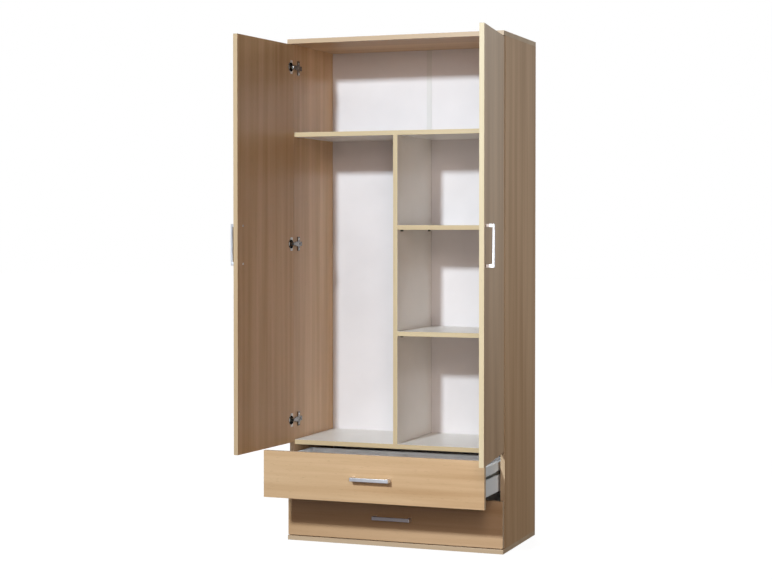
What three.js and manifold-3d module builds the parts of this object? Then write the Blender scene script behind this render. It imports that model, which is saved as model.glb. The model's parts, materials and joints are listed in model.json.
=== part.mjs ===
// Broom cupboard: a carcass of beech-faced board with white inner boards, two tall doors and two drawers.
// Millimetres, +Z up, front towards -Y, origin at the centre of the underside.
// It stands as it is used: both doors swung open and the upper drawer pulled out.

import * as THREE from 'three';
import { mergeVertices } from 'three/addons/utils/BufferGeometryUtils.js';
import Module from 'manifold-3d';

const wasm = await Module();
wasm.setup();

// Overall size and board thicknesses
const cupboardWidth = 800;
const cupboardDepth = 400;
const cupboardHeight = 1780;
const board = 16;
const hardboard = 3;
const play = 0.3;

// Carcass: levels of the shelves' upper faces, and the back in its groove
const floorLevel = 356;
const upperShelfLevel = 1451;
const smallShelfLevels = { upper: 1121, lower: 750.5 };
const innerSetback = 3;
const backInset = 13;
const backGrooveDepth = 5.5;
const backGrooveReach = 5;
const shelfBackClearance = 1.2;
const smallShelfPlay = 0.5;

// Plastic strip of H section that joins the two halves of the back
const stripWidth = 20;
const stripWeb = 1.2;
const stripLip = 0.7;

// Shelf pins
const pinSpigotDiameter = 5;
const pinSpigotLength = 8;
const pinHeadWidth = 7;
const pinHeadHeight = 6;
const pinHeadLength = 9;
const pinSetback = 37;
const pinFacets = 12;

// Fronts: gap between fronts, reveal beside them, and how far they cover the floor panel
const frontGap = 3;
const sideReveal = 2;
const floorOverlay = 8;

// Doors: how far each stands open, and the hinge pivot from the door's edge and inner face
const leftDoorDegrees = 94.5;
const rightDoorDegrees = 97.3;
const hingeEndDistance = 80;
const pivotFromEdge = 7;
const pivotFromInnerFace = 8;

// Hinge cup, let into the door
const cupDiameter = 35;
const cupEdgeDistance = 3;
const cupBoreDepth = 12.5;
const cupDepth = 12;
const cupWall = 0.9;
const cupFlange = 1;
const cupFlangeWidth = 16;
const cupFlangeHeight = 48;
const cupNotchHeight = 12;
const cupFacets = 36;
const hingePinDiameter = 2.2;
const hingePinLength = 18.6;
const hingePinFacets = 12;

// Hinge arm with its mounting plate, screwed to the side panel
const armThickness = 2;
const armNeckWidth = 10;
const armWidth = 16;
const armTail = 15;
const armWideSetback = 3;
const knuckleDiameter = 4.4;
const plateThickness = 4;
const plateHeight = 50;
const plateDepth = 16;
const plateSetback = 29;
const armSlotLength = 12;
const armSlotWidth = 5;

// Handles, all four alike
const handleLength = 140;
const handleProjection = 28;
const handleBarThickness = 6.5;
const handleWidth = 12;
const handleFootLength = 11;
const handleCornerRadius = 2;
const handleCornerSteps = 3;
const doorHandleInset = 36.5;

// Drawer boxes
const upperDrawerPull = 209;
const drawerBoard = 12;
const drawerSideHeight = 101;
const drawerSideLength = 350;
const drawerSideBelow = 28.5;
const drawerSideGap = 6;
const drawerBottomRise = 10;
const drawerGrooveDepth = 6;
const drawerBottomReach = 5.5;

// Ball runners: rail on the cabinet, rail in the drawer side, and a cage of balls between
const runnerGrooveHeight = 15;
const runnerGrooveDepth = 6;
const runnerRise = 64;
const runnerLength = 346;
const runnerFrontSetback = 2;
const runnerTravel = 259;
const cabinetRailHeight = 13;
const railWall = 1.2;
const cabinetRailDepth = 9.5;
const drawerRailHeight = 6;
const drawerRailDepth = 8.8;
const cageClearance = 0.4;
const cageWall = 1;
const cageEndMargin = 3;
const ballDiameter = 2;
const ballsPerRow = 4;
const ballSegments = 8;
const ballRings = 6;

// Finishes
const beech = new THREE.MeshStandardMaterial({ color: '#cfae85', roughness: 0.42, metalness: 0 });
const whiteFacedBoard = new THREE.MeshStandardMaterial({ color: '#dfddd9', roughness: 0.4, metalness: 0 });
const whiteHardboard = new THREE.MeshStandardMaterial({ color: '#eceae8', roughness: 0.5, metalness: 0 });
const drawerFoil = new THREE.MeshStandardMaterial({ color: '#d6d3cf', roughness: 0.5, metalness: 0 });
const whitePlastic = new THREE.MeshStandardMaterial({ color: '#e4e2df', roughness: 0.45, metalness: 0 });
const satinNickel = new THREE.MeshStandardMaterial({ color: '#c9c7c3', roughness: 0.3, metalness: 1 });
const zincSteel = new THREE.MeshStandardMaterial({ color: '#9c9a97', roughness: 0.38, metalness: 1 });
const runnerSteel = new THREE.MeshStandardMaterial({ color: '#77746f', roughness: 0.4, metalness: 1 });

// Levels and planes that several pieces share
const half = 0.5;
const sideOuter = cupboardWidth * half;
const sideInner = sideOuter - board;
const frontPlane = -cupboardDepth * half;
const frontInner = frontPlane + board;
const carcassFront = frontInner + frontGap;
const carcassRear = cupboardDepth * half;
const backRear = carcassRear - backInset;
const backFront = backRear - hardboard;
const shelfFront = carcassFront + innerSetback;
const shelfRear = backFront - shelfBackClearance;
const topUnderside = cupboardHeight - board;
const overrun = board;

// A low and a high bound, whichever way round they are given
const span = (a, b) => [Math.min(a, b), Math.max(a, b)];
const around = (centre, size) => [centre - size * half, centre + size * half];

// A box from three spans, so that neighbours that share a plane share it exactly
function box(x, y, z) {
  const geometry = new THREE.BoxGeometry(1, 1, 1);
  const corners = geometry.attributes.position;
  const pick = (bounds, share) => (share < 0 ? bounds[0] : bounds[1]);
  for (let i = 0; i < corners.count; i += 1) {
    corners.setXYZ(i, pick(x, corners.getX(i)), pick(y, corners.getY(i)), pick(z, corners.getZ(i)));
  }
  return geometry;
}

// A round bar between two points
function rod(diameter, start, end, facets) {
  const from = new THREE.Vector3(...start);
  const along = new THREE.Vector3(...end).sub(from);
  const length = along.length();
  const geometry = new THREE.CylinderGeometry(diameter * half, diameter * half, length, facets);
  geometry.translate(0, length * half, 0);
  const turn = new THREE.Quaternion().setFromUnitVectors(new THREE.Vector3(0, 1, 0), along.normalize());
  return geometry.applyQuaternion(turn).translate(from.x, from.y, from.z);
}

// Booleans on closed geometries
function solid(geometry) {
  const bare = geometry.clone();
  bare.deleteAttribute('normal');
  bare.deleteAttribute('uv');
  const merged = mergeVertices(bare);
  return new wasm.Manifold(new wasm.Mesh({
    numProp: 3,
    vertProperties: merged.attributes.position.array,
    triVerts: new Uint32Array(merged.index.array),
  }));
}

function surface(body) {
  const mesh = body.getMesh();
  const geometry = new THREE.BufferGeometry();
  geometry.setAttribute('position', new THREE.BufferAttribute(mesh.vertProperties, mesh.numProp));
  geometry.setIndex(new THREE.BufferAttribute(mesh.triVerts, 1));
  geometry.computeVertexNormals();
  return geometry;
}

function joined(first, ...others) {
  return surface(others.reduce((body, piece) => body.add(solid(piece)), solid(first)));
}

function cut(first, ...tools) {
  return surface(tools.reduce((body, tool) => body.subtract(solid(tool)), solid(first)));
}

function place(group, name, geometry, material) {
  const mesh = new THREE.Mesh(geometry, material);
  mesh.name = name;
  group.add(mesh);
  return mesh;
}

const sides = { left: -1, right: 1 };

// Groove for the back, cut into the boards that frame it
const grooveDepthSpan = [backFront - play, backRear + play];

// Side panels stand on the bottom panel, under the top panel
const pinLevels = Object.values(smallShelfLevels).map((level) => level - board);
const pinPlanes = { front: carcassFront + pinSetback, back: backFront - pinSetback };

function pinBores(from, inward) {
  const bores = [];
  for (const level of pinLevels) {
    for (const depth of Object.values(pinPlanes)) {
      const centre = level - pinHeadHeight * half;
      const mouth = [from - inward * play, depth, centre];
      const end = [from + inward * (pinSpigotLength + play), depth, centre];
      bores.push(rod(pinSpigotDiameter + play + play, mouth, end, pinFacets));
    }
  }
  return bores;
}

function sidePanel(side) {
  const height = [board, topUnderside];
  const panel = box(span(side * sideInner, side * sideOuter), [carcassFront, carcassRear], height);
  const grooveX = span(side * (sideInner - overrun), side * (sideInner + backGrooveDepth));
  const groove = box(grooveX, grooveDepthSpan, [board - overrun, topUnderside + overrun]);
  const bores = side > 0 ? pinBores(sideInner, side) : [];
  return cut(panel, groove, ...bores);
}

function capPanel(bottom, top, grooveFace, inward) {
  const panel = box(around(0, cupboardWidth), [frontPlane, carcassRear], [bottom, top]);
  const grooveHalf = sideInner + backGrooveDepth;
  const grooveZ = span(grooveFace - inward * backGrooveDepth, grooveFace + inward * overrun);
  return cut(panel, box([-grooveHalf, grooveHalf], grooveDepthSpan, grooveZ));
}

function backPanel(side) {
  const outer = side * (sideInner + backGrooveReach);
  const inner = side * (stripWeb * half + play);
  const height = [board - backGrooveReach, topUnderside + backGrooveReach];
  return box(span(inner, outer), [backFront, backRear], height);
}

function backJointStrip() {
  const height = [board, topUnderside];
  const web = box(around(0, stripWeb), [backFront - play - stripLip, backRear + play + stripLip], height);
  const frontLip = box(around(0, stripWidth), [backFront - play - stripLip, backFront - play], height);
  const rearLip = box(around(0, stripWidth), [backRear + play, backRear + play + stripLip], height);
  return joined(web, frontLip, rearLip);
}

function shelf(x, level) {
  return box(x, [shelfFront, shelfRear], [level - board, level]);
}

const carcass = new THREE.Group();
const wholeWidth = around(0, sideInner + sideInner);
const dividerFace = board * half;
for (const [name, side] of Object.entries(sides)) {
  place(carcass, `${name}_side_panel`, sidePanel(side), beech);
  place(carcass, `${name}_back_panel`, backPanel(side), whiteHardboard);
}
place(carcass, 'top_panel', capPanel(topUnderside, cupboardHeight, topUnderside, -1), beech);
place(carcass, 'bottom_panel', capPanel(0, board, board, 1), beech);
place(carcass, 'floor_panel', shelf(wholeWidth, floorLevel), whiteFacedBoard);
place(carcass, 'upper_shelf', shelf(wholeWidth, upperShelfLevel), whiteFacedBoard);
place(carcass, 'back_joint_strip', backJointStrip(), whitePlastic);

const dividerHeight = [floorLevel, upperShelfLevel - board];
const divider = box(around(0, board), [shelfFront, shelfRear], dividerHeight);
place(carcass, 'divider', cut(divider, ...pinBores(dividerFace, -1)), whiteFacedBoard);

// Small shelves lie loose on four pins each
const smallShelfSpan = [dividerFace + smallShelfPlay, sideInner - smallShelfPlay];

function shelfPin(face, inward, depth, shelfUnderside) {
  const headX = span(face, face + inward * pinHeadLength);
  const head = box(headX, around(depth, pinHeadWidth), [shelfUnderside - pinHeadHeight, shelfUnderside]);
  const centre = shelfUnderside - pinHeadHeight * half;
  const root = [face + inward * pinHeadLength * half, depth, centre];
  const tip = [face - inward * pinSpigotLength, depth, centre];
  return joined(head, rod(pinSpigotDiameter, root, tip, pinFacets));
}

for (const [row, level] of Object.entries(smallShelfLevels)) {
  place(carcass, `${row}_small_shelf`, shelf(smallShelfSpan, level), whiteFacedBoard);
  for (const [end, depth] of Object.entries(pinPlanes)) {
    const leftPin = shelfPin(dividerFace, 1, depth, level - board);
    const rightPin = shelfPin(sideInner, -1, depth, level - board);
    place(carcass, `${row}_shelf_pin_${end}_left`, leftPin, zincSteel);
    place(carcass, `${row}_shelf_pin_${end}_right`, rightPin, zincSteel);
  }
}

// Fronts share one face: doors above the drawers, with equal gaps all round
const doorBottom = floorLevel - floorOverlay;
const doorTop = topUnderside - frontGap;
const doorHeight = doorTop - doorBottom;
const doorCentre = (doorBottom + doorTop) * half;
const frontOuterEdge = sideOuter - sideReveal;
const doorWidth = frontOuterEdge - frontGap * half;
const drawerStackTop = doorBottom - frontGap;
const drawerFrontHeight = (drawerStackTop - board - frontGap - frontGap) * half;

// Hinges: places in the door's own frame, whose origin is the pivot, +u towards the free edge
const pivotX = frontOuterEdge - pivotFromEdge;
const pivotY = frontInner - pivotFromInnerFace;
const doorInnerFace = pivotFromInnerFace;
const doorOuterFace = doorInnerFace - board;
const hingeReach = doorHeight * half - hingeEndDistance;
const hingeRows = { top: hingeReach, middle: 0, bottom: -hingeReach };
const cupCentre = cupEdgeDistance + cupDiameter * half - pivotFromEdge;

function hingeCup(inward, level) {
  const x = inward * cupCentre;
  const seat = doorInnerFace + play;
  const rim = seat + cupFlange;
  const floor = doorInnerFace - cupDepth;
  const outerDiameter = cupDiameter - play - play;
  const innerDiameter = outerDiameter - cupWall - cupWall;
  const shell = rod(outerDiameter, [x, floor, level], [x, rim, level], cupFacets);
  const flangeX = around(x - inward * cupEdgeDistance, cupFlangeWidth);
  const flange = box(flangeX, [seat, rim], around(level, cupFlangeHeight));
  const hollow = rod(innerDiameter, [x, floor + cupWall, level], [x, rim + overrun, level], cupFacets);
  const notchX = span(x, x - inward * cupDiameter);
  const notch = box(notchX, [-pivotFromEdge * half, rim + overrun], around(level, cupNotchHeight));
  const pinReach = hingePinLength * half;
  const pin = rod(hingePinDiameter, [0, 0, level - pinReach], [0, 0, level + pinReach], hingePinFacets);
  const shellCut = solid(shell).add(solid(flange)).subtract(solid(hollow)).subtract(solid(notch));
  return surface(shellCut.add(solid(pin)));
}

function hingeArm(inward, level) {
  const panelFace = pivotX - sideInner;
  const sheetNear = panelFace + plateThickness;
  const sheetFar = sheetNear + armThickness;
  const plateFront = carcassFront + plateSetback - pivotY;
  const armEnd = plateFront + plateDepth + armTail;
  const wideStart = carcassFront + armWideSetback - pivotY;
  const neck = around(level, armNeckWidth);
  const knuckle = rod(knuckleDiameter, [0, 0, neck[0]], [0, 0, neck[1]], hingePinFacets);
  const link = box(span(0, inward * sheetFar), around(0, armThickness), neck);
  const sheetX = span(inward * sheetNear, inward * sheetFar);
  const blade = box(sheetX, [-armThickness * half, armEnd], neck);
  const wideBlade = box(sheetX, [wideStart, armEnd], around(level, armWidth));
  const plateX = span(inward * panelFace, inward * sheetNear);
  const plate = box(plateX, [plateFront, plateFront + plateDepth], around(level, plateHeight));
  const slotCentre = plateFront + plateDepth * half;
  const slot = box(sheetX, around(slotCentre, armSlotLength), around(level, armSlotWidth));
  const bore = hingePinDiameter + play + play;
  const pinBore = rod(bore, [0, 0, neck[0] - play], [0, 0, neck[1] + play], hingePinFacets);
  const arm = solid(knuckle).add(solid(link)).add(solid(blade)).add(solid(wideBlade));
  return surface(arm.subtract(solid(slot)).add(solid(plate)).subtract(solid(pinBore)));
}

function doorPanel(inward) {
  const edge = -inward * pivotFromEdge;
  const freeEdge = edge + inward * doorWidth;
  const panel = box(span(edge, freeEdge), [doorOuterFace, doorInnerFace], around(0, doorHeight));
  const bores = Object.values(hingeRows).map((level) => {
    const x = inward * cupCentre;
    const floor = doorInnerFace - cupBoreDepth;
    return rod(cupDiameter, [x, floor, level], [x, doorInnerFace + overrun, level], cupFacets);
  });
  return cut(panel, ...bores);
}

// Handle: a bow of square section on two feet, lying along X and standing out towards -Y
function handle() {
  const reach = handleLength * half;
  const tip = reach - handleCornerRadius;
  const bend = handleCornerRadius - handleProjection;
  const barInner = handleBarThickness - handleProjection;
  const outline = new THREE.Shape();
  outline.moveTo(-reach, 0);
  outline.lineTo(-reach, bend);
  outline.absarc(-tip, bend, handleCornerRadius, Math.PI, Math.PI * 1.5, false);
  outline.lineTo(tip, -handleProjection);
  outline.absarc(tip, bend, handleCornerRadius, Math.PI * 1.5, Math.PI * 2, false);
  outline.lineTo(reach, 0);
  outline.lineTo(reach - handleFootLength, 0);
  outline.lineTo(reach - handleFootLength, barInner);
  outline.lineTo(handleFootLength - reach, barInner);
  outline.lineTo(handleFootLength - reach, 0);
  const depth = { depth: handleWidth, bevelEnabled: false, curveSegments: handleCornerSteps };
  return new THREE.ExtrudeGeometry(outline, depth).translate(0, 0, -handleWidth * half);
}

const doorDegrees = { left: leftDoorDegrees, right: rightDoorDegrees };
const object = new THREE.Group();
object.add(carcass);
for (const [name, side] of Object.entries(sides)) {
  const inward = -side;
  const door = new THREE.Group();
  door.position.set(side * pivotX, pivotY, doorCentre);
  door.rotation.z = side * THREE.MathUtils.degToRad(doorDegrees[name]);
  object.add(door);
  place(door, `${name}_door_panel`, doorPanel(inward), beech);
  const bow = place(door, `${name}_door_handle`, handle(), satinNickel);
  const handleX = inward * (doorWidth - pivotFromEdge - doorHandleInset);
  bow.position.set(handleX, doorOuterFace - play, 0);
  bow.rotation.y = Math.PI / 2;
  for (const [row, level] of Object.entries(hingeRows)) {
    place(door, `${name}_hinge_cup_${row}`, hingeCup(inward, level), zincSteel);
    const arm = place(carcass, `${name}_hinge_arm_${row}`, hingeArm(inward, level), zincSteel);
    arm.position.set(side * pivotX, pivotY, doorCentre);
  }
}

// Drawers: modelled shut, then pulled out as groups
const boxOuter = sideInner - drawerSideGap;
const boxInner = boxOuter - drawerBoard;
const boxRear = frontInner + drawerSideLength;

function drawerSide(side, low) {
  const height = [low, low + drawerSideHeight];
  const panel = box(span(side * boxInner, side * boxOuter), [frontInner, boxRear], height);
  const runnerX = span(side * (boxOuter - runnerGrooveDepth), side * (boxOuter + overrun));
  const runnerY = [frontInner - overrun, boxRear + overrun];
  const runnerGroove = box(runnerX, runnerY, around(low + runnerRise, runnerGrooveHeight));
  const bottomX = span(side * (boxInner - overrun), side * (boxInner + drawerGrooveDepth));
  const bottomZ = [low + drawerBottomRise - play, low + drawerBottomRise + hardboard + play];
  return cut(panel, runnerGroove, box(bottomX, runnerY, bottomZ));
}

function drawerFront(bottom, low) {
  const face = [bottom, bottom + drawerFrontHeight];
  const panel = box(around(0, frontOuterEdge + frontOuterEdge), [frontPlane, frontInner], face);
  const grooveHalf = boxInner + drawerGrooveDepth;
  const grooveZ = [low + drawerBottomRise - play, low + drawerBottomRise + hardboard + play];
  const grooveY = [frontInner - drawerGrooveDepth, frontInner + overrun];
  return cut(panel, box([-grooveHalf, grooveHalf], grooveY, grooveZ));
}

function drawerBottom(low) {
  const halfWidth = boxInner + drawerBottomReach;
  const rise = low + drawerBottomRise;
  return box([-halfWidth, halfWidth], [frontInner - drawerBottomReach, boxRear], [rise, rise + hardboard]);
}

function drawerBack(low) {
  const height = [low + drawerBottomRise + hardboard + play, low + drawerSideHeight];
  return box([-boxInner, boxInner], [boxRear - drawerBoard, boxRear], height);
}

// Runner sections, all centred on one level beside the drawer
const cabinetRailMouth = sideInner - cabinetRailDepth;
const drawerRailRoot = boxOuter - runnerGrooveDepth;
const drawerRailTip = drawerRailRoot + drawerRailDepth;
const cageWebInner = drawerRailTip + cageClearance;

function cabinetRail(side, level) {
  const y = [carcassFront + runnerFrontSetback, carcassFront + runnerFrontSetback + runnerLength];
  const channel = box(span(side * cabinetRailMouth, side * sideInner), y, around(level, cabinetRailHeight));
  const hollowX = span(side * (cabinetRailMouth - overrun), side * (sideInner - railWall));
  const hollowY = [y[0] - overrun, y[1] + overrun];
  return cut(channel, box(hollowX, hollowY, around(level, cabinetRailHeight - railWall - railWall)));
}

function drawerRail(side, level) {
  const y = [frontInner + runnerFrontSetback, frontInner + runnerFrontSetback + runnerLength];
  const channel = box(span(side * drawerRailRoot, side * drawerRailTip), y, around(level, drawerRailHeight));
  const hollowX = span(side * (drawerRailRoot + railWall), side * (drawerRailTip + overrun));
  const hollowY = [y[0] - overrun, y[1] + overrun];
  return cut(channel, box(hollowX, hollowY, around(level, drawerRailHeight - railWall - railWall)));
}

// Where the cage must lie, shut, to stay inside both rails over the whole travel
const cageLength = runnerLength - runnerTravel - cageEndMargin - cageEndMargin;
const cageFront = frontInner + frontGap + runnerFrontSetback + runnerTravel * half + cageEndMargin;

function ballCage(side, level) {
  const y = [cageFront, cageFront + cageLength];
  const outerHeight = cabinetRailHeight - railWall - railWall - cageClearance - cageClearance;
  const innerHeight = drawerRailHeight + cageClearance + cageClearance;
  const mouth = cabinetRailMouth + railWall;
  const strip = box(span(side * mouth, side * (cageWebInner + cageWall)), y, around(level, outerHeight));
  const hollowX = span(side * (mouth - overrun), side * cageWebInner);
  const hollow = box(hollowX, [y[0] - overrun, y[1] + overrun], around(level, innerHeight));
  let body = solid(strip).subtract(solid(hollow));
  const rowX = side * (mouth + cageWebInner) * half;
  const pitch = cageLength / ballsPerRow;
  for (const row of [-half, half]) {
    const rowZ = level + row * (outerHeight + innerHeight) * half;
    for (let i = 0; i < ballsPerRow; i += 1) {
      const ball = new THREE.SphereGeometry(ballDiameter * half, ballSegments, ballRings);
      body = body.add(solid(ball.translate(rowX, cageFront + (i + half) * pitch, rowZ)));
    }
  }
  return surface(body);
}

// Upper drawer on top of the lower one; the cages follow at half the pull
const drawers = {
  upper: { bottom: drawerStackTop - drawerFrontHeight, pull: upperDrawerPull },
  lower: { bottom: board + frontGap, pull: 0 },
};
for (const [row, { bottom, pull }] of Object.entries(drawers)) {
  const low = bottom + drawerSideBelow;
  const level = low + runnerRise;
  const drawer = new THREE.Group();
  const cages = new THREE.Group();
  drawer.position.y = -pull;
  cages.position.y = -pull * half;
  object.add(drawer, cages);
  place(drawer, `${row}_drawer_front`, drawerFront(bottom, low), beech);
  place(drawer, `${row}_drawer_back`, drawerBack(low), drawerFoil);
  place(drawer, `${row}_drawer_bottom`, drawerBottom(low), whiteHardboard);
  const bow = place(drawer, `${row}_drawer_handle`, handle(), satinNickel);
  bow.position.set(0, frontPlane, bottom + drawerFrontHeight * half);
  for (const [name, side] of Object.entries(sides)) {
    place(drawer, `${row}_drawer_${name}_side`, drawerSide(side, low), drawerFoil);
    place(drawer, `${row}_drawer_${name}_rail`, drawerRail(side, level), runnerSteel);
    place(carcass, `${row}_cabinet_rail_${name}`, cabinetRail(side, level), runnerSteel);
    place(cages, `${row}_ball_cage_${name}`, ballCage(side, level), zincSteel);
  }
}

export default object;
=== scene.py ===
# Broom cupboard in beech-faced board: two tall doors standing open above two drawers, the upper
# one pulled out. Metres, +Z up, front towards -Y, origin at the centre of the underside.
import json
import math

import bpy
from mathutils import Matrix, Vector


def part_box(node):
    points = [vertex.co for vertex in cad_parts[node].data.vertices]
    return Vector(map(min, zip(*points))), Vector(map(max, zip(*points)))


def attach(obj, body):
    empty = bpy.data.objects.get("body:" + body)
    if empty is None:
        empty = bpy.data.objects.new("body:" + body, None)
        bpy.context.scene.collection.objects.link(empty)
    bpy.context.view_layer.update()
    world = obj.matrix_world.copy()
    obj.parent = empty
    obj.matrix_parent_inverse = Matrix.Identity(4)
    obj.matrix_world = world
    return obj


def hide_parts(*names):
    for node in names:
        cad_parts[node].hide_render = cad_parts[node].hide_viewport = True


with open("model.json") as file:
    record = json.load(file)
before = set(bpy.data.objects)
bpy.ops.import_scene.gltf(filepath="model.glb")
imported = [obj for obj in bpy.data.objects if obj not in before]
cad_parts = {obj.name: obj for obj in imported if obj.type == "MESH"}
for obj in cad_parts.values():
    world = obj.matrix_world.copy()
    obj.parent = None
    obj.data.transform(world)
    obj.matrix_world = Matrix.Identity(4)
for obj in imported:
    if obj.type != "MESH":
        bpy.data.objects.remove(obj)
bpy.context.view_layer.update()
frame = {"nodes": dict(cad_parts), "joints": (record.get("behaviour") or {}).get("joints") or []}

# Outer boards: 16 mm chipboard faced with printed beech paper under melamine, satin, its figure
# running along each board. The cut edges carry a tan beech band; the rear edges and the grooves
# for the back show bare chipboard. Dowels and cam fittings inside the joints hold them.


class Tint:
    """One socket of a finish: sums on it add Math nodes, and part() adds any other node."""

    def __init__(self, tree, socket):
        self.tree = tree
        self.socket = socket

    def part(self, kind, settings, inputs, output=None):
        """A new node: its settings, the values or links of its sockets, and which output."""
        node = self.tree.nodes.new(kind)
        for name, value in settings.items():
            setattr(node, name, value)
        for name, value in inputs.items():
            if isinstance(name, int):
                socket = node.inputs[name]
            else:
                socket = next(s for s in node.inputs if s.name == name and s.enabled)
            if isinstance(value, Tint):
                self.tree.links.new(value.socket, socket)
            else:
                socket.default_value = value
        found = node.outputs[output] if output else next(s for s in node.outputs if s.enabled)
        return Tint(self.tree, found)

    def sum_of(self, operation, first, second):
        return self.part("ShaderNodeMath", {"operation": operation}, {0: first, 1: second})

    def __add__(self, other):
        return self.sum_of("ADD", self, other)

    def __radd__(self, other):
        return self.sum_of("ADD", other, self)

    def __rsub__(self, other):
        return self.sum_of("SUBTRACT", other, self)

    def __mul__(self, other):
        return self.sum_of("MULTIPLY", self, other)

    def above(self, low, high):
        """0 up to low, 1 from high on."""
        inputs = {"Value": self, "From Min": low, "From Max": high}
        return self.part("ShaderNodeMapRange", {"clamp": True}, inputs)

    def full_swing(self):
        """Noise keeps to about 0.3 to 0.7: this draws it out to 0 to 1."""
        return self.above(0.3, 0.7)

    def mixed(self, under, over):
        """The colour under, turning to over as this value goes from 0 to 1."""
        factor, first_color, second_color, color_output = 0, 6, 7, 2
        inputs = {factor: self, first_color: under, second_color: over}
        return self.part("ShaderNodeMix", {"data_type": "RGBA"}, inputs, color_output)

    def stretched(self, x, y, z):
        """The place, with what is left of its length along each axis."""
        return self.part("ShaderNodeMapping", {}, {"Vector": self, "Scale": (x, y, z)})

    def speckle(self, scale, detail):
        """Noise of about 0 to 1 at this many cells a metre."""
        inputs = {"Vector": self, "Scale": scale, "Detail": detail}
        return self.part("ShaderNodeTexNoise", {}, inputs)

    def relief(self, height):
        """Surface normal for this relief, height in metres."""
        inputs = {"Height": self, "Distance": height, "Strength": 1.0}
        return self.part("ShaderNodeBump", {}, inputs)


def paint(red, green, blue):
    """A colour from its usual 0 to 255 values, taken off the sRGB curve."""
    shares = [value / 255 for value in (red, green, blue)]
    return (*[s / 12.92 if s <= 0.04045 else ((s + 0.055) / 1.055) ** 2.4 for s in shares], 1.0)


def finish(name, **fixed):
    """A new material: the material, a function that sets its shader, and where it is read."""
    material = bpy.data.materials.new(name)
    material.use_nodes = True
    tree = material.node_tree
    shader = tree.nodes["Principled BSDF"]

    def lay(**sockets):
        for socket_name, value in sockets.items():
            socket = shader.inputs[socket_name.replace("_", " ")]
            if isinstance(value, Tint):
                tree.links.new(value.socket, socket)
            else:
                socket.default_value = value

    lay(**fixed)
    return material, lay, Tint(tree, tree.nodes.new("ShaderNodeTexCoord").outputs["Object"])


def along_grain(place, grain, share):
    """The place, drawn out along the grain: share is what is left of its length there."""
    shares = {"X": (share, 1, 1), "Z": (1, 1, share)}
    return place.stretched(*shares[grain])


def beech(name, grain, light, dark):
    """Beech print: broad soft bands, fine fibres and short dark flecks along the grain."""
    material, lay, place = finish(name, IOR=1.5, Specular_IOR_Level=0.26)
    bands = along_grain(place, grain, share=0.05).speckle(scale=15, detail=2).above(0.34, 0.66)
    streaks = along_grain(place, grain, share=0.02).speckle(scale=55, detail=2).full_swing()
    fibres = along_grain(place, grain, share=0.02).speckle(scale=480, detail=3)
    pores = along_grain(place, grain, share=0.035).speckle(scale=900, detail=2)
    flecks = along_grain(place, grain, share=0.1).speckle(scale=420, detail=1).above(0.66, 0.74)
    tone = bands * 0.44 + streaks * 0.26 + fibres * 0.2 + pores * 0.1
    body = tone.above(0.12, 0.88).mixed(dark, light)
    fleck_depth, fleck_strength, satin = 0.74, 0.3, 0.27
    fleck_color = tuple(channel * fleck_depth for channel in dark[:3]) + (1.0,)
    lay(Base_Color=(flecks * fleck_strength).mixed(body, fleck_color))
    lay(Roughness=satin + pores * 0.06 + fibres * 0.04)
    lay(Normal=(pores * 0.6 + flecks * 0.4).relief(height=0.00003))
    return material


def bare_chipboard():
    """Pressed chips, seen only in grooves, bores and on the rear edges."""
    material, lay, place = finish("bare_chipboard", IOR=1.4)
    chips = place.part("ShaderNodeTexVoronoi", {}, {"Vector": place, "Scale": 420.0}, "Color")
    shade = chips.part("ShaderNodeSeparateColor", {}, {"Color": chips}, "Red")
    dust = place.speckle(scale=1500, detail=2)
    dark_chip, light_chip, raw = paint(150, 118, 82), paint(205, 176, 134), 0.8
    lay(Base_Color=(shade * 0.7 + dust * 0.3).mixed(dark_chip, light_chip))
    lay(Roughness=raw + dust * 0.15)
    lay(Normal=shade.relief(height=0.0002))
    return material


face_light, face_dark = paint(216, 180, 142), paint(181, 142, 101)
tan_light, tan_dark = paint(212, 187, 157), paint(193, 166, 135)
upright_face = beech("beech_upright", "Z", face_light, face_dark)
level_face = beech("beech_level", "X", face_light, face_dark)
outer_upright_band = beech("beech_band_outer_upright", "Z", tan_light, tan_dark)
outer_level_band = beech("beech_band_outer_level", "X", tan_light, tan_dark)
chipboard = bare_chipboard()
rearward = Vector((0, 1, 0))
board_edge = 0.0004


def only(piece):
    """Leaves this piece alone selected, and active."""
    bpy.ops.object.select_all(action="DESELECT")
    piece.select_set(True)
    bpy.context.view_layer.objects.active = piece


def fitted(piece, body):
    """Fixes a finished piece to the body it moves with."""
    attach(piece, body)
    return piece


def copy_of(mesh, name):
    """A new piece with its own copy of a mesh."""
    piece = bpy.data.objects.new(name, mesh.copy())
    bpy.context.collection.objects.link(piece)
    return piece


def workpiece(node, name):
    """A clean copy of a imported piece: its loose triangles merged into whole faces."""
    piece = copy_of(frame["nodes"][node].data, name)
    piece.data.materials.clear()
    only(piece)
    same_point, same_plane = 0.00001, math.radians(0.5)
    bpy.ops.object.mode_set(mode="EDIT")
    bpy.ops.mesh.select_all(action="SELECT")
    bpy.ops.mesh.remove_doubles(threshold=same_point)
    bpy.ops.mesh.dissolve_limited(angle_limit=same_plane)
    bpy.ops.object.mode_set(mode="OBJECT")
    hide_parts(node)
    return piece


def eased(piece, width, steps=2):
    """Takes the sharpness off a piece's edges, as the tool that cut it does."""
    sharp_angle, smooth_angle = math.radians(40), math.radians(20)
    only(piece)
    ease = piece.modifiers.new("eased_edges", "BEVEL")
    ease.width = width
    ease.segments = steps
    ease.limit_method = "ANGLE"
    ease.angle_limit = sharp_angle
    bpy.ops.object.modifier_apply(modifier=ease.name)
    bpy.ops.object.shade_smooth_by_angle(angle=smooth_angle)
    return piece


def looks(polygon, direction):
    """Whether a face looks in this direction, within about 45 degrees."""
    return polygon.normal.dot(direction) > 0.7


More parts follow.
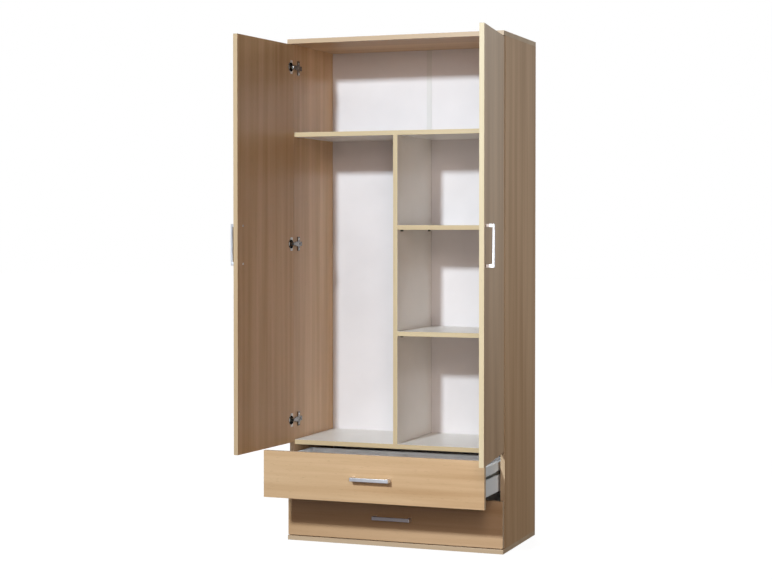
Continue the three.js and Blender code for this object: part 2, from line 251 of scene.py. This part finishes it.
def faced_board(node, name, face, band, raw_rear):
    """A board with its facing on the wide faces, a band on its edges and bare core in cuts."""
    piece = workpiece(node, name)
    in_face, in_band, in_core = range(3)
    for material in (face, band, chipboard):
        piece.data.materials.append(material)
    polygons = piece.data.polygons
    wide = max(polygons, key=lambda polygon: polygon.area).normal.copy()
    corners = [vertex.co.copy() for vertex in piece.data.vertices]
    cut_depth = 0.0003
    for polygon in polygons:
        outermost = max(corner.dot(polygon.normal) for corner in corners)
        if outermost - polygon.center.dot(polygon.normal) > cut_depth:
            polygon.material_index = in_core
        elif looks(polygon, wide) or looks(polygon, -wide):
            polygon.material_index = in_face
        elif raw_rear and looks(polygon, rearward):
            polygon.material_index = in_core
        else:
            polygon.material_index = in_band
    return eased(piece, board_edge)


for node, face, band in (
    ("left_side_panel", upright_face, outer_upright_band),
    ("right_side_panel", upright_face, outer_upright_band),
    ("top_panel", level_face, outer_level_band),
    ("bottom_panel", level_face, outer_level_band),
):
    board = faced_board(node, f"{node}_board", face, band, raw_rear=True)
    fitted(board, "carcass")

# Inner boards: white melamine on chipboard, with a paler beech band than the outer boards'. The
# floor over the drawers, the long shelf and the divider are fixed; two small shelves lie loose.


def white_melamine():
    """Smooth white facing with the faint pearl of the press plate."""
    material, lay, place = finish("white_melamine", IOR=1.5, Specular_IOR_Level=0.36)
    cloud = place.speckle(scale=6, detail=3)
    pearl = place.speckle(scale=800, detail=3)
    shade = (cloud * 0.6 + pearl * 0.4).full_swing()
    duller, clearer, satin = paint(231, 228, 222), paint(239, 236, 232), 0.3
    lay(Base_Color=shade.mixed(duller, clearer))
    lay(Roughness=satin + pearl * 0.1)
    lay(Normal=pearl.relief(height=0.00002))
    return material


white_face = white_melamine()
pale_light, pale_dark = paint(215, 198, 163), paint(198, 176, 139)
upright_band = beech("beech_band_upright", "Z", pale_light, pale_dark)
level_band = beech("beech_band_level", "X", pale_light, pale_dark)
for node, band in (
    ("divider", upright_band),
    ("floor_panel", level_band),
    ("upper_shelf", level_band),
    ("upper_small_shelf", level_band),
    ("lower_small_shelf", level_band),
):
    board = faced_board(node, f"{node}_board", white_face, band, raw_rear=True)
    fitted(board, "carcass")

# Back: two sheets of 3 mm hardboard let into the boards' grooves, white lacquer inside and bare
# brown fibre behind, joined behind the divider by a white plastic strip of H section.


def white_lacquer():
    """Rolled lacquer with a faint orange peel."""
    material, lay, place = finish("white_lacquer", IOR=1.46)
    cloud = place.speckle(scale=5, detail=3)
    peel = place.speckle(scale=700, detail=2)
    duller, clearer, satin = paint(219, 214, 215), paint(227, 222, 223), 0.42
    lay(Base_Color=cloud.full_swing().mixed(duller, clearer))
    lay(Roughness=satin + peel * 0.1)
    lay(Normal=peel.relief(height=0.00003))
    return material


def brown_fibre():
    """Matted fibre with the print of the screen that it was pressed on."""
    material, lay, place = finish("brown_fibre", IOR=1.4)
    mat = place.speckle(scale=260, detail=4)
    screen = place.part("ShaderNodeTexVoronoi", {}, {"Vector": place, "Scale": 650.0}, "Distance")
    dark_fibre, light_fibre, raw = paint(104, 76, 50), paint(146, 112, 78), 0.75
    lay(Base_Color=(mat * 0.8 + screen * 0.4).above(0.3, 0.8).mixed(dark_fibre, light_fibre))
    lay(Roughness=raw + mat * 0.15)
    lay(Normal=screen.relief(height=0.00015))
    return material


def white_strip():
    """Drawn plastic with fine lines along the strip."""
    material, lay, place = finish("strip_plastic", IOR=1.5)
    draw_lines = place.stretched(1, 1, 0.02).speckle(scale=900, detail=2)
    duller, clearer, satin = paint(206, 203, 201), paint(216, 213, 211), 0.36
    lay(Base_Color=draw_lines.mixed(duller, clearer))
    lay(Roughness=satin + draw_lines * 0.1)
    lay(Normal=draw_lines.relief(height=0.00002))
    return material


lacquer, fibre, strip_plastic = white_lacquer(), brown_fibre(), white_strip()
sheet_edge, strip_edge = 0.0003, 0.0002


def lacquered_sheet(node, name, shown):
    """A hardboard sheet with lacquer on the side that looks towards shown."""
    piece = workpiece(node, name)
    in_lacquer, in_fibre = range(2)
    for material in (lacquer, fibre):
        piece.data.materials.append(material)
    for polygon in piece.data.polygons:
        polygon.material_index = in_lacquer if looks(polygon, shown) else in_fibre
    return eased(piece, sheet_edge)


def plain_piece(node, name, material, edge, body, slot):
    """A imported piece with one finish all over, its edges eased, on its body."""
    piece = workpiece(node, name)
    piece.data.materials.append(material)
    return fitted(eased(piece, edge), body)


for side in ("left", "right"):
    sheet = lacquered_sheet(f"{side}_back_panel", f"{side}_back_sheet", -rearward)
    fitted(sheet, "carcass")
plain_piece(
    "back_joint_strip", "back_strip", strip_plastic, strip_edge, "carcass", "white_plastic"
)

# Shelf pins: turned steel, zinc plated and coloured dark grey, four under each small shelf. Each
# is pressed into a bored hole in the divider or the right side panel, and its head carries the
# shelf.


def bright_metal(name, light, dark, rough):
    """Plated steel with faint clouding and rubbing marks."""
    material, lay, place = finish(name, Metallic=1.0)
    cloud = place.speckle(scale=90, detail=3)
    rubs = place.speckle(scale=1400, detail=2)
    lay(Base_Color=cloud.full_swing().mixed(dark, light))
    lay(Roughness=rough + cloud * 0.12 + rubs * 0.06)
    lay(Normal=rubs.relief(height=0.00001))
    return material


dark_grey_zinc = bright_metal("dark_grey_zinc", paint(104, 101, 97), paint(78, 76, 73), rough=0.34)
pin_edge = 0.0005
for row in ("upper", "lower"):
    for end in ("front", "back"):
        for side in ("left", "right"):
            node, name = f"{row}_shelf_pin_{end}_{side}", f"{row}_{end}_{side}_pin"
            plain_piece(node, name, dark_grey_zinc, pin_edge, "carcass", "zinc_steel")

# Doors: one faced board each, banded all round, with a bow handle held by two screws from inside.
# The handle is drawn bar bent square, satin nickel plated. The right door's band is painted paler,
# a painted highlight for the light that falls on that edge, and the left door's band darker,
# painted shade.


def satin_nickel():
    """Plated bar with fine upright brush marks."""
    material, lay, place = finish("satin_nickel", Metallic=1.0)
    brushing = place.stretched(1, 1, 0.03).speckle(scale=1800, detail=2)
    cloud = place.speckle(scale=60, detail=2)
    duller, clearer, satin = paint(224, 224, 228), paint(237, 237, 241), 0.42
    lay(Base_Color=cloud.mixed(duller, clearer))
    lay(Roughness=satin + brushing * 0.14)
    lay(Normal=brushing.relief(height=0.00001))
    return material


nickel = satin_nickel()
bow_edge = 0.0007
# Painted light on the door bands: the right one paler as a painted highlight, the left one darker
# as painted shade.
door_bands_with_painted_light = {
    "left": beech("beech_band_left_door_painted_shade", "Z", paint(202, 178, 144), paint(186, 158, 123)),
    "right": beech("beech_band_right_door_painted_highlight", "Z", paint(226, 211, 178), paint(208, 188, 152)),
}
for side, band in door_bands_with_painted_light.items():
    body = f"{side}_door"
    door = faced_board(f"{body}_panel", f"{body}_board", upright_face, band, raw_rear=False)
    fitted(door, body)
    plain_piece(f"{body}_handle", f"{body}_bow", nickel, bow_edge, body, "satin_nickel")

# Screws: steel, bright zinc plated, with pan heads and a cross recess. One head is turned here,
# and a copy of it is seated wherever a screw shows.


def pan_head(name, diameter, height):
    """A screw head on the origin, its crown towards +Z."""
    crown_share, facets, smooth_angle = 0.55, 24, math.radians(35)
    recess = (diameter * 0.52, diameter * 0.14, height * 0.9)
    bpy.ops.object.select_all(action="DESELECT")
    bpy.ops.mesh.primitive_cylinder_add(
        vertices=facets, radius=diameter / 2, depth=height, location=(0, 0, height / 2)
    )
    head = bpy.context.object
    head.name = name
    crown = head.modifiers.new("crown", "BEVEL")
    crown.width = height * crown_share
    crown.segments = 3
    crown.limit_method = "ANGLE"
    bpy.ops.object.modifier_apply(modifier=crown.name)
    for turn in (0, math.pi / 2):
        bpy.ops.object.select_all(action="DESELECT")
        bpy.ops.mesh.primitive_cube_add(size=1, location=(0, 0, height), rotation=(0, 0, turn))
        cutter = bpy.context.object
        cutter.scale = recess
        only(head)
        cross = head.modifiers.new("cross", "BOOLEAN")
        cross.operation = "DIFFERENCE"
        cross.object = cutter
        bpy.ops.object.modifier_apply(modifier=cross.name)
        bpy.data.objects.remove(cutter)
    bpy.ops.object.shade_smooth_by_angle(angle=smooth_angle)
    return head


zinc = bright_metal("bright_zinc", paint(214, 212, 208), paint(184, 182, 179), rough=0.2)
pattern_head = pan_head("pattern_head", diameter=0.0072, height=0.0018)
pattern_head.data.materials.append(zinc)
bpy.context.collection.objects.unlink(pattern_head)
upward = Vector((0, 0, 1))


def screw(name, seat, outward, body, size=1.0):
    """A copy of the screw head seated at a point, its crown towards outward."""
    piece = copy_of(pattern_head.data, name)
    turn = upward.rotation_difference(outward).to_matrix().to_4x4()
    piece.data.transform(Matrix.Translation(seat) @ turn @ Matrix.Scale(size, 4))
    return fitted(piece, body)


# Hinges: a pressed cup in each 35 mm bore with two screws through its flange, and an arm on a
# mounting plate with three screws, all zinc plated. A stamped bridge in the cup's well covers the
# spring; it and the flange carry a painted highlight, a very pale zinc, and the well and the arm
# carry painted shade, a dark zinc.


def door_turn(side):
    """From a door's own axes, shut and centred on its hinges, to where it stands."""
    joint = next(j for j in frame["joints"] if j["name"] == f"{side}_door_hinge")
    opened = math.radians(-joint["range_deg"][0])
    pivot, axis = Vector(joint["pos_m"]), Vector(joint["axis"])
    return Matrix.Translation(pivot) @ Matrix.Rotation(opened, 4, axis)


# Two copies of one zinc: a dark one as painted shade in the wells and on the arms, a very pale one
# as painted highlight on the rims and bridges.
zinc_with_painted_shade = bright_metal("zinc_with_painted_shade", paint(150, 147, 142), paint(92, 90, 87), rough=0.14)
zinc_with_painted_highlight = bright_metal("zinc_with_painted_highlight", paint(240, 239, 236), paint(222, 220, 217), rough=0.42)
cup_edge, arm_edge, rim_depth = 0.0002, 0.0004, 0.0003
bridge_size, bridge_edge, bridge_steps = (0.0085, 0.0075, 0.013), 0.0016, 3
bridge_from_pivot, bridge_centre = 0.0184, 0.00065
flange_from_pivot, flange_face, cup_screw_reach, cup_screw_size = 0.0105, 0.0093, 0.0203, 0.85
arm_sheet, plate_from_tail, plate_screw_reach, slot_screw_size = 0.002, 0.023, 0.0175, 0.68
door_width, pivot_from_edge, door_inner_face = 0.3965, 0.007, 0.008
bow_from_edge, bow_screw_reach, bow_screw_size = 0.0365, 0.064, 1.1

bpy.ops.object.select_all(action="DESELECT")
bpy.ops.mesh.primitive_cube_add(size=1)
pattern_bridge = bpy.context.object
pattern_bridge.name = "pattern_bridge"
pattern_bridge.data.transform(Matrix.Diagonal((*bridge_size, 1)))
pattern_bridge.data.materials.append(zinc_with_painted_highlight)
eased(pattern_bridge, bridge_edge, bridge_steps)
bpy.context.collection.objects.unlink(pattern_bridge)

for side, inward in (("left", 1), ("right", -1)):
    body = f"{side}_door"
    turn = door_turn(side)
    door_side = turn.to_3x3() @ rearward
    from_panel = Vector((inward, 0, 0))
    for row in ("top", "middle", "bottom"):
        cup = workpiece(f"{side}_hinge_cup_{row}", f"{side}_{row}_cup")
        on_rim, in_well = range(2)
        for material in (zinc_with_painted_highlight, zinc_with_painted_shade):
            cup.data.materials.append(material)
        # Faces at the cup's rim take the painted highlight; faces sunk into the well take the
        # painted shade.
        rim = max(vertex.co.dot(door_side) for vertex in cup.data.vertices)
        for polygon in cup.data.polygons:
            sunk = rim - polygon.center.dot(door_side)
            polygon.material_index = on_rim if sunk < rim_depth else in_well
        fitted(eased(cup, cup_edge), body)
        node = f"{side}_hinge_arm_{row}"
        plain_piece(node, f"{side}_{row}_arm", zinc_with_painted_shade, arm_edge, "carcass", "zinc_steel")

        low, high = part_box(node)
        level = (low.z + high.z) / 2
        above_pivot = level - turn.translation.z
        bridge = copy_of(pattern_bridge.data, f"{side}_{row}_bridge")
        bridge_place = (inward * bridge_from_pivot, bridge_centre, above_pivot)
        bridge.data.transform(turn @ Matrix.Translation(bridge_place))
        fitted(bridge, body)

        plate_face = high.x - arm_sheet if side == "left" else low.x + arm_sheet
        plate_depth = high.y - plate_from_tail
        seat = Vector((plate_face, plate_depth, level))
        screw(f"{side}_{row}_slot_screw", seat, from_panel, "carcass", slot_screw_size)
        for end in (-1, 1):
            seat = Vector((plate_face, plate_depth, level + end * plate_screw_reach))
            screw(f"{side}_{row}_plate_screw_{end + 1}", seat, from_panel, "carcass")
            cup_screw_level = above_pivot + end * cup_screw_reach
            seat = turn @ Vector((inward * flange_from_pivot, flange_face, cup_screw_level))
            screw(f"{side}_{row}_cup_screw_{end + 1}", seat, door_side, body, cup_screw_size)
    # The two screws of this door's handle, on the door's inner face.
    bow_place = inward * (door_width - pivot_from_edge - bow_from_edge)
    for end in (-1, 1):
        seat = turn @ Vector((bow_place, door_inner_face, end * bow_screw_reach))
        screw(f"{body}_bow_screw_{end + 1}", seat, door_side, body, bow_screw_size)

# Drawers: a faced front, box sides and back of 12 mm board wrapped in light grey foil, and a
# lacquered hardboard bottom in a groove. Ball runners of bare steel sit in a groove outside each
# box side. The upper front's print is painted a little lighter and yellower than the lower one's:
# the yellower hue is the print's own, and the extra lightness is a painted highlight for the
# brighter light on its right part.


def grey_foil():
    """Thin foil with a fine print that runs from front to rear."""
    material, lay, place = finish("grey_foil", IOR=1.5)
    cloud = place.speckle(scale=7, detail=3)
    grain = place.stretched(1, 0.05, 1).speckle(scale=520, detail=2)
    duller, clearer, satin = paint(236, 240, 243), paint(244, 247, 249), 0.34
    lay(Base_Color=(cloud * 0.6 + grain * 0.4).full_swing().mixed(duller, clearer))
    lay(Roughness=satin + grain * 0.12)
    lay(Normal=grain.relief(height=0.00003))
    return material


def rolled_steel():
    """Bare strip with the fine lines of the rolls."""
    material, lay, place = finish("rolled_steel", Metallic=1.0)
    rolling = place.stretched(1, 0.02, 1).speckle(scale=900, detail=2)
    cloud = place.speckle(scale=45, detail=3)
    duller, clearer, satin = paint(150, 147, 142), paint(190, 187, 182), 0.26
    lay(Base_Color=(rolling * 0.5 + cloud * 0.5).mixed(duller, clearer))
    lay(Roughness=satin + rolling * 0.16)
    lay(Normal=rolling.relief(height=0.00002))
    return material


foil, steel = grey_foil(), rolled_steel()
foil_edge, rail_edge = 0.0012, 0.0002
# The upper front's print is painted lighter than the lower one's, a painted highlight for the
# brighter light on its right part.
upper_face_painted_lighter = beech("beech_upper_front_painted_light", "X", paint(223, 190, 151), paint(188, 150, 109))
for row, face in (("upper", upper_face_painted_lighter), ("lower", level_face)):
    body = f"{row}_drawer"
    node = f"{body}_front"
    front = faced_board(node, f"{node}_board", face, outer_level_band, raw_rear=False)
    fitted(front, body)
    for name in ("left_side", "right_side", "back"):
        node = f"{body}_{name}"
        plain_piece(node, f"{node}_board", foil, foil_edge, body, "drawer_foil")
    bottom = lacquered_sheet(f"{body}_bottom", f"{body}_bottom_sheet", upward)
    fitted(bottom, body)
    plain_piece(f"{body}_handle", f"{body}_bow", nickel, bow_edge, body, "satin_nickel")
    low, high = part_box(f"{body}_front")
    for end in (-1, 1):
        seat = Vector((end * bow_screw_reach, high.y, (low.z + high.z) / 2))
        screw(f"{body}_bow_screw_{end + 1}", seat, rearward, body, bow_screw_size)
    for side in ("left", "right"):
        box_rail = f"{body}_{side}_rail", f"{body}_{side}_slide"
        cabinet_rail = f"{row}_cabinet_rail_{side}", f"{row}_{side}_cabinet_slide"
        ball_cage = f"{row}_ball_cage_{side}", f"{row}_{side}_ball_strip"
        plain_piece(*box_rail, steel, rail_edge, body, "runner_steel")
        plain_piece(*cabinet_rail, steel, rail_edge, "carcass", "runner_steel")
        plain_piece(*ball_cage, zinc, rail_edge, f"{row}_cages", "zinc_steel")

# Floor: one pale studio sheet that the cupboard stands on, brighter away from it so that it runs
# out into the white room without an edge.


def pale_sheet():
    """Matt sheet that glows a little less near the cupboard than far from it."""
    material, lay, place = finish("pale_sheet", Roughness=0.9, Emission_Strength=1.0)
    cloud = place.speckle(scale=0.7, detail=2)
    away = place.part("ShaderNodeVectorMath", {"operation": "LENGTH"}, {0: place}, "Value")
    duller, clearer = paint(92, 92, 92), paint(96, 96, 95)
    near, far = 1.2, 6
    near_glow, far_glow = (0.93, 0.93, 0.93, 1), (1, 1, 1, 1)
    lay(Base_Color=cloud.mixed(duller, clearer))
    lay(Emission_Color=away.above(near, far).mixed(near_glow, far_glow))
    return material


sheet_width, sheet_drop = 60, 0.0005
bpy.ops.object.select_all(action="DESELECT")
bpy.ops.mesh.primitive_plane_add(size=sheet_width, location=(0, 0, -sheet_drop))
floor = bpy.context.object
floor.name = "studio_floor"
floor.data.materials.append(pale_sheet())
floor.visible_diffuse = False
floor.visible_glossy = False

# Light: a small hard lamp high in front on the left gives the shadows; a soft box, a low lamp and
# one large lamp at each side and behind fill them. The room glows faintly in front on the left,
# and its wall behind, paler above than below, is what the satin faces mirror at a flat angle.
room = bpy.data.worlds.new("studio_room")
room.use_nodes = True
backdrop = room.node_tree.nodes["Background"]
toward = Tint(room.node_tree, room.node_tree.nodes.new("ShaderNodeTexCoord").outputs["Generated"])
rising, behind, across = (
    toward.part("ShaderNodeSeparateXYZ", {}, {"Vector": toward}, axis) for axis in ("Z", "Y", "X")
)
seen = toward.part("ShaderNodeLightPath", {}, {}, "Is Camera Ray")
front_strength, rear_strength = 0.19, 0.92
right_dimming, low_wall, wall_rise = 0.92, 0.12, 0.88
in_front = 1 - behind.above(0.1, 0.5)
on_left = 1 - across.above(-0.2, 0.2) * right_dimming
front_glow = in_front * on_left * front_strength
on_wall = behind.above(0.88, 1.0)
wall_shade = low_wall + rising.above(-0.15, 0.14) * wall_rise
rear_glow = on_wall * wall_shade * rear_strength
front_tint, wall_tint, white = (0.96, 0.87, 0.94, 1), (0.94, 1, 0.98, 1), (1, 1, 1, 1)
glow_tint = rear_glow.above(0, 0.1).mixed(front_tint, wall_tint)
strength = seen + (1 - seen) * (front_glow + rear_glow)
room.node_tree.links.new(strength.socket, backdrop.inputs["Strength"])
room.node_tree.links.new(seen.mixed(glow_tint, white).socket, backdrop.inputs["Color"])
bpy.context.scene.world = room


def lamp(name, place, target, size, power, color):
    """A square lamp of this size, turned towards the target."""
    light = bpy.data.lights.new(name, "AREA")
    light.shape = "SQUARE"
    light.size = size
    light.energy = power
    light.color = color
    carrier = bpy.data.objects.new(name, light)
    carrier.location = place
    carrier.rotation_euler = (Vector(target) - Vector(place)).to_track_quat("-Z", "Y").to_euler()
    bpy.context.collection.objects.link(carrier)


middle = (0, 0, 0.9)
warm_white = (1, 0.98, 0.95)
lamp("hard_lamp", (-0.6, -5.4, 3.17), middle, size=0.32, power=290, color=(0.83, 0.935, 1))
lamp("soft_box", (1.6, -4.0, 2.2), middle, size=0.8, power=26, color=(1, 0.87, 0.81))
lamp("low_fill", (0.9, -2.2, 0.6), (0.3, -0.4, 0.4), size=0.6, power=7.5, color=(1, 0.87, 0.75))
lamp("side_fill", (4.2, 0.9, 1.6), (0.4, 0, 0.9), size=1.6, power=58, color=(1, 1, 0.985))
lamp("left_fill", (-4.5, 1.6, 2.4), (-0.4, 0, 0.9), size=1.6, power=22, color=warm_white)
lamp("rear_fill", (-1.2, 5.0, 3.0), (0, 0.2, 0.9), size=1.6, power=80, color=warm_white)

# Camera: where the picture was taken from, a little higher than half the cupboard and just off
# level. The frame sits a little low on the lens, as the picture was cut.
lens = bpy.data.cameras.new("view")
lens.sensor_width = 36
lens.lens = 79.275
lens.shift_y = -0.0331
degrees_down, degrees_round = 1.2, 20.624
camera = bpy.data.objects.new("view", lens)
camera.location = (2.0566, -5.7335, 1.11)
camera.rotation_euler = (math.radians(90 - degrees_down), 0, math.radians(degrees_round))
bpy.context.collection.objects.link(camera)
bpy.context.scene.camera = camera
bpy.context.scene.view_settings.view_transform = "Standard"
